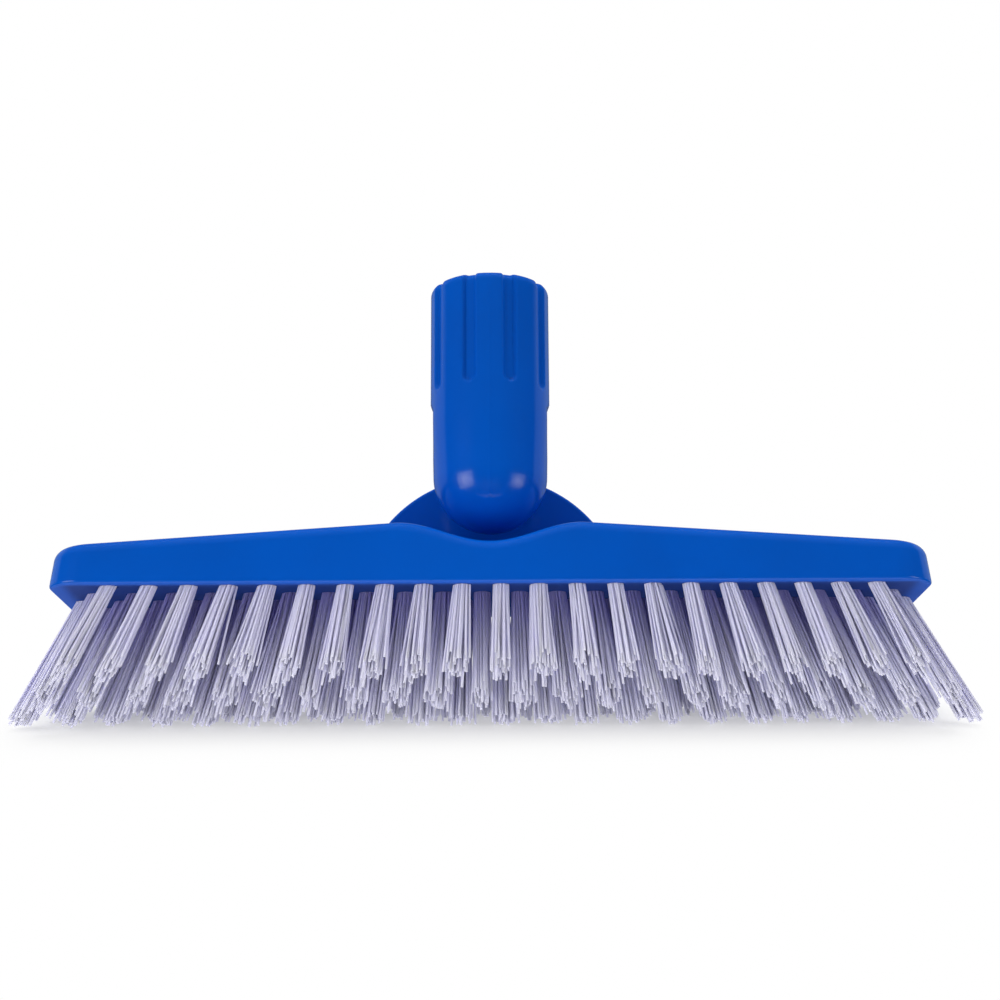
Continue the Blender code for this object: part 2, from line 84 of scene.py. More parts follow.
# A node tree for a material, the world or Geometry Nodes.
class Net:
    def __init__(self, tree):
        self.tree = tree

    def feed(self, socket, value):
        if isinstance(value, Wire):
            self.tree.links.new(value.socket, socket)
        else:
            socket.default_value = value

    # settings are the node's own properties; inputs go by name or number
    def add(self, kind, settings=None, inputs=None, output=0):
        node = self.tree.nodes.new(kind)
        for name, value in (settings or {}).items():
            if name == "stops":
                ramp = node.color_ramp
                while len(ramp.elements) < len(value):
                    ramp.elements.new(0.5)
                for element, (position, colour) in zip(ramp.elements, value):
                    element.position = position
                    element.color = colour
            else:
                setattr(node, name, value)
        for name, value in (inputs or {}).items():
            self.feed(node.inputs[name], value)
        return Wire(self, node.outputs[output]) if node.outputs else None

    def maths(self, operation, *values):
        return self.add("ShaderNodeMath", {"operation": operation}, dict(enumerate(values)))

    def between(self, low, high, value):                # 0 below low, 1 above high, soft between
        return self.add("ShaderNodeMapRange", {"interpolation_type": "SMOOTHSTEP"},
                        {"Value": value, "From Min": low, "From Max": high})

    def blend(self, share, first, second):              # of two numbers
        return self.add("ShaderNodeMix", {"data_type": "FLOAT"}, {0: share, 2: first, 3: second})

    def tint(self, share, first, second):               # of two colours
        return self.add("ShaderNodeMix", {"data_type": "RGBA"}, {0: share, 6: first, 7: second}, 2)

    def vector(self, x, y, z):
        return self.add("ShaderNodeCombineXYZ", None, {"X": x, "Y": y, "Z": z})

    def parts(self, vector):
        return [self.add("ShaderNodeSeparateXYZ", None, {0: vector}, axis) for axis in range(3)]


def openTree(name, inputs):
    tree = bpy.data.node_groups.new(name, "GeometryNodeTree")
    tree.interface.new_socket("Geometry", in_out="INPUT", socket_type="NodeSocketGeometry")
    for label, kind in inputs:
        tree.interface.new_socket(label, in_out="INPUT", socket_type="NodeSocket" + kind)
    tree.interface.new_socket("Material", in_out="INPUT", socket_type="NodeSocketMaterial")
    tree.interface.new_socket("Geometry", in_out="OUTPUT", socket_type="NodeSocketGeometry")
    net = Net(tree)
    given = tree.nodes.new("NodeGroupInput")
    return net, {socket.name: Wire(net, socket) for socket in given.outputs if socket.name}


def closeTree(net, shape, given):
    shape = net.add("GeometryNodeRealizeInstances", None, {"Geometry": shape})
    shape = net.add("GeometryNodeSetMaterial", None, {"Geometry": shape, "Material": given["Material"]})
    net.add("NodeGroupOutput", None, {0: shape})
    return net.tree


def bake(obj):                                          # the evaluated shape becomes the object's own mesh
    bpy.context.view_layer.update()
    seen = obj.evaluated_get(bpy.context.evaluated_depsgraph_get())
    mesh = bpy.data.meshes.new_from_object(seen)
    obj.modifiers.clear()
    obj.data = mesh


def runTree(obj, tree, values):
    modifier = obj.modifiers.new(tree.name, "NODES")
    modifier.node_group = tree
    for item in tree.interface.items_tree:
        if item.in_out == "INPUT" and item.name in values:
            modifier[item.identifier] = values[item.name]
    bake(obj)


def addObject(name, mesh, material=None):
    obj = bpy.data.objects.new(name, mesh)
    bpy.context.scene.collection.objects.link(obj)
    if material:
        mesh.materials.append(material)
    return obj


def takeMesh(bm, name):
    mesh = bpy.data.meshes.new(name)
    bm.to_mesh(mesh)
    bm.free()
    return mesh


def smooth(obj, degrees):
    obj.data.shade_smooth()
    obj.data.set_sharp_from_angle(angle=math.radians(degrees))
    return obj


def cutOrJoin(obj, operation, mesh):
    tool = addObject(mesh.name, mesh)
    boolean = obj.modifiers.new(operation, "BOOLEAN")
    boolean.operation = operation
    boolean.solver = "EXACT"
    boolean.object = tool
    bake(obj)
    bpy.data.objects.remove(tool, do_unlink=True)


def arcPoints(centre, radius, start, end, steps):
    turns = [math.radians(start + (end - start) * step / steps) for step in range(steps + 1)]
    return [(centre[0] + radius * math.cos(turn), centre[1] + radius * math.sin(turn)) for turn in turns]


def filledOutline(name, points, thickness):             # flat outline in XY, thick about z = 0
    curve = bpy.data.curves.new(name, "CURVE")
    curve.dimensions = "2D"
    curve.fill_mode = "BOTH"
    curve.extrude = thickness / 2
    spline = curve.splines.new("POLY")
    spline.points.add(len(points) - 1)
    for point, (x, y) in zip(spline.points, points):
        point.co = (x, y, 0, 1)
    spline.use_cyclic_u = True
    carrier = addObject(name, curve)
    bpy.context.view_layer.update()
    mesh = bpy.data.meshes.new_from_object(carrier.evaluated_get(bpy.context.evaluated_depsgraph_get()))
    bpy.data.objects.remove(carrier, do_unlink=True)
    bm = bmesh.new()
    bm.from_mesh(mesh)
    bmesh.ops.remove_doubles(bm, verts=bm.verts, dist=1e-7)
    bmesh.ops.dissolve_limit(bm, angle_limit=0.001, verts=bm.verts, edges=bm.edges)
    bmesh.ops.recalc_face_normals(bm, faces=bm.faces)
    bm.to_mesh(mesh)
    bm.free()
    return mesh


def standUp(name, points, fromY, toY):                  # outline in XZ between two values of y
    mesh = filledOutline(name, points, toY - fromY)
    mesh.transform(Matrix.Translation((0, (fromY + toY) / 2, 0)) @ Matrix.Rotation(math.pi / 2, 4, "X"))
    return mesh


def crossCylinder(name, radius, fromY, toY, height, sides=64):
    bm = bmesh.new()
    place = Matrix.Translation((0, (fromY + toY) / 2, height)) @ Matrix.Rotation(math.pi / 2, 4, "X")
    bmesh.ops.create_cone(bm, cap_ends=True, segments=sides, radius1=radius, radius2=radius,
                          depth=toY - fromY, matrix=place)
    return takeMesh(bm, name)


def turned(name, profile, sides):                       # (radius, z) points turned about Z
    bm = bmesh.new()
    verts = [bm.verts.new((radius, 0, z)) for radius, z in profile]
    edges = [bm.edges.new(pair) for pair in zip(verts, verts[1:])]
    bmesh.ops.spin(bm, geom=verts + edges, cent=(0, 0, 0), axis=(0, 0, 1), angle=2 * math.pi, steps=sides)
    bmesh.ops.remove_doubles(bm, verts=bm.verts, dist=1e-6)
    bmesh.ops.recalc_face_normals(bm, faces=bm.faces)
    return takeMesh(bm, name)


def resampled(points, step):                            # extra points so that none is further apart than step
    fine = [points[0]]
    for start, end in zip(points, points[1:]):
        count = max(1, math.ceil(math.dist(start, end) / step))
        fine += [(start[0] + (end[0] - start[0]) * i / count, start[1] + (end[1] - start[1]) * i / count)
                 for i in range(1, count + 1)]
    return fine


# Camera: below the brush, looking slightly up at its long front face.
shot = {"place": (0.0026, -0.5385, -0.0738), "pitch": 14.1, "roll": -0.3, "lens": 73.55}

lens = bpy.data.cameras.new("camera")
lens.sensor_width = 36
lens.lens = shot["lens"]
lens.clip_start = 0.01
camera = bpy.data.objects.new("camera", lens)
bpy.context.scene.collection.objects.link(camera)
camera.matrix_world = (Matrix.Translation(shot["place"])
                       @ Matrix.Rotation(math.radians(90 + shot["pitch"]), 4, "X")
                       @ Matrix.Rotation(math.radians(shot["roll"]), 4, "Z"))
bpy.context.scene.camera = camera


def newMaterial(name, settings):
    material = bpy.data.materials.new(name)
    material.use_nodes = True
    net = Net(material.node_tree)
    shader = material.node_tree.nodes["Principled BSDF"]
    for label, value in settings.items():
        shader.inputs[label].default_value = value
    return material, net, shader


def objectPlace(net):
    return net.add("ShaderNodeTexCoord", None, None, "Object")


def noise(net, place, scale, detail):
    return net.add("ShaderNodeTexNoise", None, {"Vector": place, "Scale": scale, "Detail": detail})


def rayKinds(net):                                      # what the camera, polished faces and glass see
    return [net.add("ShaderNodeLightPath", None, None, kind)
            for kind in ("Is Camera Ray", "Is Glossy Ray", "Is Transmission Ray")]


# Blue moulded plastic: glossy, with a faint flow of the colour and fine grain. The underside is dull, and
# inside its lip it is painted a darker blue, a painted shade standing in for the shadow under the block.
bluePlastic = {
    "colour": (0.0003, 0.0935, 0.540, 1), "deep": (0.0002, 0.0840, 0.490, 1),
    "flow": 22, "cloudFrom": 0.35, "cloudTo": 0.70, "haze": 90,
    "grain": 2600, "grainDepth": 0.000004, "grainStrength": 0.6,
    "roughness": 0.12, "roughnessSpread": 0.05, "cloudRoughness": 0.4,
    # under: the colour of the painted shade inside the lip of the underside
    "under": (0.0002, 0.040, 0.260, 1), "underRoughness": 0.75,
    "underFrom": 0.0338, "underTo": 0.0342,             # height
    "lipFrom": -0.0236, "lipTo": -0.0210,               # from front to back
    "lipSide": 0.1085, "lipEnd": 0.1125,                # towards the ends
}


def makeBlue():
    form = bluePlastic
    material, net, shader = newMaterial("bluePlastic", {"IOR": 1.46, "Specular IOR Level": 0.5})
    place = objectPlace(net)
    flow = noise(net, place, form["flow"], 3.0)
    cloud = net.between(form["cloudFrom"], form["cloudTo"], flow)
    x, y, z = net.parts(place)
    under = 1 - net.between(form["underFrom"], form["underTo"], z)
    # painted shade: inside the lip the underside is painted darker, for the shadow that falls there
    paintedLipShade = under * net.between(form["lipFrom"], form["lipTo"], y)
    paintedLipShade = paintedLipShade * (1 - net.between(form["lipSide"], form["lipEnd"], net.maths("ABSOLUTE", x)))
    colour = net.tint(cloud, form["colour"], form["deep"])
    net.feed(shader.inputs["Base Color"], net.tint(paintedLipShade, colour, form["under"]))
    haze = noise(net, place, form["haze"], 8.0)
    gloss = form["roughness"] + (cloud * form["cloudRoughness"] + haze) * form["roughnessSpread"]
    net.feed(shader.inputs["Roughness"], net.blend(under, gloss, form["underRoughness"]))
    grain = noise(net, place, form["grain"], 1.0)
    bump = net.add("ShaderNodeBump", None, {"Height": grain, "Distance": form["grainDepth"],
                                            "Strength": form["grainStrength"]})
    net.feed(shader.inputs["Normal"], bump)
    return material


# Nylon filament: milky, a little translucent, each strand a tone of its own. Behind the first row
# the roots carry a painted shade, darker and violet, for the block's shadow and blue bounce light, but not at
# its open ends.
nylon = {
    "light": (0.705, 0.695, 0.92, 1), "dark": (0.645, 0.635, 0.85, 1),
    "tip": (0.70, 0.695, 0.835, 1), "tipFrom": 0.80,
    # the painted root shade: its colour, and where along the filament it is full and where it has faded
    "rootShade": (0.32, 0.30, 0.65, 1), "rootFull": 0.1, "rootFade": 0.75,    # along the filament
    "shadeFrom": -0.0175, "shadeTo": -0.0125,                              # from front to back
    "openFrom": 0.099, "openTo": 0.111,                                  # towards the ends
    "roughness": 0.40, "milk": 0.60, "depth": 0.0008,
}


def makeNylon():
    form = nylon
    material, net, shader = newMaterial("nylonFilament", {
        "IOR": 1.50, "Roughness": form["roughness"], "Subsurface Weight": form["milk"],
        "Subsurface Radius": (1.0, 1.0, 1.0), "Subsurface Scale": form["depth"]})
    strand = net.add("ShaderNodeAttribute", {"attribute_name": "strand"}, None, "Fac")
    along = net.add("ShaderNodeAttribute", {"attribute_name": "along"}, None, "Fac")
    body = net.tint(strand, form["light"], form["dark"])
    x, y = net.parts(objectPlace(net))[:2]
    behind = net.between(form["shadeFrom"], form["shadeTo"], y)
    behind = behind * (1 - net.between(form["openFrom"], form["openTo"], net.maths("ABSOLUTE", x)))
    # the ring of the nut has no filaments, so its "along" is 0 and it takes no painted root shade
    rootward = (along > 0.001) * (1 - net.between(form["rootFull"], form["rootFade"], along))
    # painted shade: behind the first row the roots are painted darker and violet, for the shade under the
    # block
    body = net.tint(behind * rootward, body, form["rootShade"])
    tip = net.between(form["tipFrom"], 1.0, along)
    net.feed(shader.inputs["Base Color"], net.tint(tip, body, form["tip"]))
    return material


# Zinc-plated steel of the bolt, nut and washer.
zincSteel = {
    "colour": (0.56, 0.57, 0.60, 1), "warm": (0.50, 0.49, 0.46, 1),
    "patch": 420, "warmFrom": 0.4, "warmTo": 0.7, "roughness": 0.30, "roughnessSpread": 0.15,
}


def makeSteel():
    form = zincSteel
    material, net, shader = newMaterial("zincSteel", {"Metallic": 1.0})
    patch = noise(net, objectPlace(net), form["patch"], 4.0)
    tarnish = net.between(form["warmFrom"], form["warmTo"], patch)
    net.feed(shader.inputs["Base Color"], net.tint(tarnish, form["colour"], form["warm"]))
    net.feed(shader.inputs["Roughness"], form["roughness"] + patch * form["roughnessSpread"])
    return material


# Natural acetal of the friction washer.
acetal = {"colour": (0.80, 0.80, 0.77, 1), "shade": (0.70, 0.70, 0.66, 1), "cloud": 300, "roughness": 0.42}


def makeAcetal():
    form = acetal
    material, net, shader = newMaterial("acetal", {"Roughness": form["roughness"]})
    cloud = noise(net, objectPlace(net), form["cloud"], 3.0)
    net.feed(shader.inputs["Base Color"], net.tint(cloud, form["colour"], form["shade"]))
    return material


blue, filament, steel, washerPlastic = makeBlue(), makeNylon(), makeSteel(), makeAcetal()
print("materials made")

# Bristle field: rows of fanned tufts, trimmed to a V whose ridge stands on z = 0.
tufts = {
    "rows": 5, "rowPitch": 0.010, "middleRow": 23, "pitch": 0.00995, "fan": 25.6,
    "underside": 0.0337, "embed": 0.004, "trim": 32.2, "flatCut": 0.0005,
    "filaments": 44, "rings": 6, "sides": 6, "filamentRadius": 0.00033,
    "rootRadius": 0.00193, "tipRadius": 0.00282, "turnStep": 2.39996, "spread": 0.00038,
    "ragged": 0.0012, "stray": 0.0040, "strayPower": 8,
    "splay": 1.4, "crown": 0.0018, "crownFrom": 0.35, "bend": 0.0001, "unevenTip": 0.0028,
    "drift": 0.0027, "driftFade": 0.8, "leanFront": -0.4, "leanBehind": 1.3,
    "wander": 1.5, "narrow": 0.85, "wide": 1.35, "outliers": 3.5, "seed": 7,
}


def tuftTree():
    net, given = openTree("tufts", [
        ("Tufts", "Int"), ("Pitch", "Float"), ("Row Y", "Float"), ("Fan", "Float"), ("Underside", "Float"),
        ("Embed", "Float"), ("Trim Slope", "Float"), ("Flat Cut", "Float"), ("Filaments", "Int"),
        ("Rings", "Int"), ("Sides", "Int"), ("Filament Radius", "Float"), ("Root Radius", "Float"),
        ("Tip Radius", "Float"), ("Spread", "Float"), ("Ragged", "Float"), ("Stray", "Float"),
        ("Splay", "Float"), ("Crown", "Float"), ("Bend", "Float"), ("Drift", "Float"),
        ("Lean Right", "Float"), ("Seed", "Int")])
    index = net.add("GeometryNodeInputIndex")
    rings, perTuft = given["Rings"], given["Filaments"]
    along = (index % rings) / (rings - 1)
    strand = net.maths("FLOOR", (index + 0.5) / rings)
    tuft = net.maths("FLOOR", (strand + 0.5) / perTuft)
    member = strand % perTuft

    def chance(low, high, which, salt):
        return net.add("FunctionNodeRandomValue", {"data_type": "FLOAT"},
                       {2: low, 3: high, 7: which, 8: given["Seed"] + salt}, 1)

    half = (given["Tufts"] - 1) / 2
    fromMiddle = tuft - half
    share = fromMiddle / half
    wander = math.radians(tufts["wander"])
    lean = given["Fan"] * share + given["Lean Right"] + chance(-wander, wander, tuft, 1)
    middle = fromMiddle * given["Pitch"] + (1 - share * share * tufts["driftFade"]) * given["Drift"]
    # the filaments are packed in a spiral, a golden angle apart
    ring = net.maths("SQRT", (member + 0.5) / perTuft)
    turn = member * tufts["turnStep"] + chance(0.0, 2 * math.pi, tuft, 2)
    sideX = net.maths("COSINE", turn)
    sideY = net.maths("SINE", turn)
    rootX = sideX * ring * given["Root Radius"]
    rootY = sideY * ring * given["Root Radius"]
    opened = chance(tufts["narrow"], tufts["wide"], tuft, 11)
    # most filaments keep their place in the tuft and a few stand well away from it
    aside = chance(-1.0, 1.0, strand, 3)
    aside = aside * (1 + aside * aside * aside * aside * tufts["outliers"])
    tipX = sideX * ring * opened * given["Tip Radius"] + given["Spread"] * aside
    tipY = sideY * ring * given["Tip Radius"] + given["Spread"] * chance(-1.0, 1.0, strand, 4)
    # the cut follows the V, but the splayed tufts end in a rounded point and each filament is ragged
    cutY = net.maths("ABSOLUTE", given["Row Y"] + tipY * given["Splay"])
    cut = cutY * given["Trim Slope"] - given["Flat Cut"] + (ring * ring - tufts["crownFrom"]) * given["Crown"]
    cut = cut + given["Ragged"] * chance(-1.0, 1.0, strand, 5)
    cut = cut - given["Stray"] * chance(0.0, 1.0, strand, 7) ** tufts["strayPower"]
    cut = net.maths("MAXIMUM", cut, chance(0.0, tufts["unevenTip"], strand, 6))
    top = given["Underside"] + given["Embed"]
    height = top - (top - cut) * along
    below = given["Underside"] - height
    bow = net.maths("SINE", along * math.pi) * given["Bend"]
    x = (middle + rootX + (tipX - rootX) * along
         + below * net.maths("TANGENT", lean) + bow * chance(-1.0, 1.0, strand, 8))
    y = given["Row Y"] + rootY + (tipY - rootY) * along + bow * chance(-1.0, 1.0, strand, 9)

    count = given["Tufts"] * perTuft * rings
    shape = net.add("GeometryNodePoints", None, {"Count": count, "Position": net.vector(x, y, height),
                                                  "Radius": given["Filament Radius"]})
    for name, value in (("strand", chance(0.0, 1.0, strand, 10)), ("along", along)):
        shape = net.add("GeometryNodeStoreNamedAttribute", {"data_type": "FLOAT", "domain": "POINT"},
                        {"Geometry": shape, "Name": name, "Value": value})
    shape = net.add("GeometryNodePointsToCurves", None,
                    {"Points": shape, "Curve Group ID": strand, "Weight": along})
    ringShape = net.add("GeometryNodeCurvePrimitiveCircle", {"mode": "RADIUS"},
                        {"Resolution": given["Sides"], "Radius": given["Filament Radius"]})
    shape = net.add("GeometryNodeCurveToMesh", None,
                    {"Curve": shape, "Profile Curve": ringShape, "Scale": 1.0, "Fill Caps": True})
    return closeTree(net, shape, given)


def tuftsInRow(row):
    return tufts["middleRow"] - abs(row - tufts["rows"] // 2)


def rowPlace(row):
    return (row - (tufts["rows"] - 1) / 2) * tufts["rowPitch"]


def rowLean(row):                                       # the whole row leans a little to one side
    return math.radians(tufts["leanBehind"] if row else tufts["leanFront"])


def buildTufts():
    form = tufts
    tree = tuftTree()
    for row in range(form["rows"]):
        name = "tuftRow%d" % (row + 1)
        obj = addObject(name, bpy.data.meshes.new(name))
        runTree(obj, tree, {
            "Tufts": tuftsInRow(row), "Pitch": form["pitch"], "Row Y": rowPlace(row),
            "Fan": math.radians(form["fan"]), "Underside": form["underside"], "Embed": form["embed"],
            "Trim Slope": math.tan(math.radians(form["trim"])), "Flat Cut": form["flatCut"],
            "Filaments": form["filaments"], "Rings": form["rings"], "Sides": form["sides"],
            "Filament Radius": form["filamentRadius"], "Root Radius": form["rootRadius"],
            "Tip Radius": form["tipRadius"], "Spread": form["spread"], "Ragged": form["ragged"],
            "Stray": form["stray"], "Splay": form["splay"], "Crown": form["crown"], "Bend": form["bend"],
            "Drift": form["drift"], "Lean Right": rowLean(row),
            "Seed": form["seed"] + 100 * row, "Material": filament})
        smooth(obj, 80)
        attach(obj, "head")
        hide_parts("bristle_row_%d" % (row + 1))
        print(name, len(obj.data.polygons), "faces")


buildTufts()

# Block: a long moulding with drafted ends, a hollow in front and the arch of the pivot behind.
block = {
    "length": 0.2305, "depth": 0.0492, "endHeight": 0.0104, "midHeight": 0.0179, "endDraft": 8.0,
    "planCorner": 0.0095, "planSteps": 12, "topRound": 0.0030, "topSteps": 8,
    "footRound": 0.0010, "footSteps": 5,
    "scoopHalf": 0.024, "scoopDepth": 0.0065, "scoopSteps": 48,
    "archFront": 0.0168, "archBack": 0.0240, "archRadius": 0.0372, "archCentre": 0.0018,
    "archFoot": 0.0055, "archSteps": 36, "archRound": 0.0009, "archRoundSteps": 4, "archSharp": 50,
    "lugRadius": 0.0145, "lugSteps": 48, "pivotHeight": 0.0340,
    "boltHole": 0.0033, "counterbore": 0.0063, "counterboreFrom": 0.0200,
    "holeRadius": 0.00235, "holeDepth": 0.0070, "holeSides": 16,
    "cutBelow": 0.010, "cutBefore": 0.005, "wallSlope": 0.3, "rimAngle": 0.7, "sharp": 32,
}


def topHeight(x):
    return block["midHeight"] - (block["midHeight"] - block["endHeight"]) * abs(x) / (block["length"] / 2)


def archPoints():
    form = block
    base = tufts["underside"] + form["archCentre"]
    pivot = tufts["underside"] + form["pivotHeight"]
    foot = tufts["underside"] + form["archFoot"]
    rise = pivot - base
    meet = (form["archRadius"] ** 2 - form["lugRadius"] ** 2 + rise ** 2) / (2 * rise)
    half = math.sqrt(form["archRadius"] ** 2 - meet ** 2)
    footTurn = math.degrees(math.asin((foot - base) / form["archRadius"]))
    meetTurn = math.degrees(math.atan2(meet, half))
    lugTurn = math.degrees(math.atan2(meet - rise, half))
    right = arcPoints((0, base), form["archRadius"], footTurn, meetTurn, form["archSteps"])
    crown = arcPoints((0, pivot), form["lugRadius"], lugTurn, 180 - lugTurn, form["lugSteps"])
    return right + crown[1:-1] + [(-x, z) for x, z in reversed(right)]


def holeTree():
    net, given = openTree("tuftHoles", [
        ("Tufts", "Int"), ("Pitch", "Float"), ("Row Y", "Float"), ("Fan", "Float"), ("Underside", "Float"),
        ("Radius", "Float"), ("Depth", "Float"), ("Sides", "Int"), ("Drift", "Float"),
        ("Lean Right", "Float")])
    index = net.add("GeometryNodeInputIndex")
    half = (given["Tufts"] - 1) / 2
    share = (index - half) / half
    middle = (index - half) * given["Pitch"] + (1 - share * share * tufts["driftFade"]) * given["Drift"]
    place = net.vector(middle, given["Row Y"], given["Underside"])
    points = net.add("GeometryNodePoints", None, {"Count": given["Tufts"], "Position": place})
    drill = net.add("GeometryNodeMeshCylinder", {"fill_type": "NGON"},
                    {"Vertices": given["Sides"], "Radius": given["Radius"], "Depth": given["Depth"] * 2})
    lean = given["Fan"] * share + given["Lean Right"]
    shape = net.add("GeometryNodeInstanceOnPoints", None,
                    {"Points": points, "Instance": drill, "Rotation": net.vector(0.0, -1 * lean, 0.0)})
    return closeTree(net, shape, given)


def roundRim(mesh, facing, width, steps):               # the sharp edge right round the top or the foot
    bm = bmesh.new()
    bm.from_mesh(mesh)
    bmesh.ops.remove_doubles(bm, verts=bm.verts, dist=1e-6)
    bmesh.ops.dissolve_limit(bm, angle_limit=0.001, verts=bm.verts, edges=bm.edges)
    bm.normal_update()
    rim = []
    for edge in bm.edges:
        walls = [face for face in edge.link_faces if abs(face.normal.z) < block["wallSlope"]
                 and face.normal.dot(face.calc_center_median()) > 0]
        lids = [face for face in edge.link_faces if facing * face.normal.z > block["wallSlope"]]
        if walls and lids and edge.calc_face_angle(0) > block["rimAngle"]:
            rim.append(edge)
    bmesh.ops.bevel(bm, geom=rim, offset=width, segments=steps, profile=0.5, affect="EDGES",
                    clamp_overlap=True)
    bm.to_mesh(mesh)
    bm.free()


def buildBlock():
    form = block
    under = tufts["underside"]
    blank = 2 * form["midHeight"]
    cornerX = form["length"] / 2 - form["planCorner"]
    cornerY = form["depth"] / 2 - form["planCorner"]
    plan = []
    for quarter, (signX, signY) in enumerate(((1, 1), (-1, 1), (-1, -1), (1, -1))):
        plan += arcPoints((signX * cornerX, signY * cornerY), form["planCorner"],
                          90 * quarter, 90 * quarter + 90, form["planSteps"])
    mesh = filledOutline("blockBody", plan, blank)
    mesh.transform(Matrix.Translation((0, 0, under + blank / 2)))
    for vert in mesh.vertices:
        inwards = math.tan(math.radians(form["endDraft"])) * (vert.co.z - under)
        vert.co.x -= math.copysign(inwards, vert.co.x)
    obj = addObject("blockBody", mesh, blue)

    far = form["length"]
    eaves = under + topHeight(far)
    ridge = under + form["midHeight"]
    low = under - form["cutBelow"]
    roof = [(-far, low), (far, low), (far, eaves), (0, ridge), (-far, eaves)]
    cutOrJoin(obj, "INTERSECT", standUp("roof", roof, -form["depth"], form["depth"]))
    dip = form["midHeight"] - form["scoopDepth"]
    brink = topHeight(form["scoopHalf"])
    scoop = []
    for step in range(form["scoopSteps"] + 1):
        share = 2 * step / form["scoopSteps"] - 1
        scoop.append((share * form["scoopHalf"],
                      under + dip + (brink - dip) * math.sin(share * math.pi / 2) ** 2))
    scoop += [(form["scoopHalf"], under + blank), (-form["scoopHalf"], under + blank)]
    cutOrJoin(obj, "DIFFERENCE", standUp("scoop", scoop, -form["depth"], form["archFront"]))
    roundRim(obj.data, 1, form["topRound"], form["topSteps"])
    roundRim(obj.data, -1, form["footRound"], form["footSteps"])

    arch = addObject("arch", standUp("arch", archPoints(), form["archFront"], form["archBack"]))
    edge = arch.modifiers.new("edge", "BEVEL")
    edge.width = form["archRound"]
    edge.segments = form["archRoundSteps"]
    edge.limit_method = "ANGLE"
    edge.angle_limit = math.radians(form["archSharp"])
    bake(arch)
    archMesh = arch.data
    bpy.data.objects.remove(arch, do_unlink=True)
    cutOrJoin(obj, "UNION", archMesh)
    pivot = under + form["pivotHeight"]
    for name, radius, front in (("boltHole", form["boltHole"], form["archFront"] - form["cutBefore"]),
                                ("counterbore", form["counterbore"], form["counterboreFrom"])):
        cutOrJoin(obj, "DIFFERENCE", crossCylinder(name, radius, front, form["depth"], pivot))
    drills = holeTree()
    for row in range(tufts["rows"]):
        tool = addObject("holes", bpy.data.meshes.new("holes"))
        runTree(tool, drills, {
            "Tufts": tuftsInRow(row), "Pitch": tufts["pitch"], "Row Y": rowPlace(row),
            "Fan": math.radians(tufts["fan"]), "Underside": under, "Radius": form["holeRadius"],
            "Depth": form["holeDepth"], "Sides": form["holeSides"], "Drift": tufts["drift"],
            "Lean Right": rowLean(row), "Material": blue})
        holes = tool.data
        bpy.data.objects.remove(tool, do_unlink=True)
        cutOrJoin(obj, "DIFFERENCE", holes)
    smooth(obj, form["sharp"])
    even = obj.modifiers.new("even", "WEIGHTED_NORMAL")
    even.keep_sharp = True
    bake(obj)
    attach(obj, "head")
    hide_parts("brush_block")
    print("block", len(obj.data.polygons), "faces")


buildBlock()

# Handle socket: a turned body with a domed end, flutes down its sleeve and a threaded bore.
socket = {
    "pivot": 0.0677, "dome": 0.0155, "domeSteps": 40, "barrel": 0.0156, "barrelFoot": 0.005,
    "sleeve": 0.0163, "shoulder": 0.0200, "shoulderSlope": 0.0012,
    "rim": 0.0540, "rimRound": 0.0024, "rimSteps": 14, "bore": 0.0112, "boreDepth": 0.045,
    "leadIn": 0.0008, "sides": 324, "step": 0.0005, "floorStep": 0.002, "sharp": 38,
    "flutes": 9, "fluteFloor": 0.00120, "fluteTop": 0.00215, "fluteDepth": 0.0011, "fluteEnd": 0.0228,
    "shellFrom": 0.0010, "shellTo": 0.0024,             # outside the bore, where the flutes start to count
    "flushSide": 0.02, "flushFront": 0.40, "flushLow": -0.001, "flushHigh": 0.017, "flushLip": 0.0008,
    "threadPitch": 0.0042, "threadHeight": 0.0008, "ridgeTop": 0.22, "ridgeFoot": 0.62, "boreBand": 0.0002,
    "floorFadeFrom": 0.003, "floorFadeTo": 0.006, "rimFadeFrom": 0.0015, "rimFadeTo": 0.004,
    "seam": 0.00010, "seamWidth": 0.0003, "seamWall": 0.002, "seamStop": 0.003,
    "pocketHalf": 0.0053, "pocketFront": 0.0014, "pocketBack": 0.0070, "pocketLow": 0.0061,
    "pocketOpen": 0.0004, "boltWay": 0.0033, "boltWayFrom": -0.0003,
    "seatRadius": 0.0068, "seatFrom": 0.0140, "cutTo": 0.030,
}


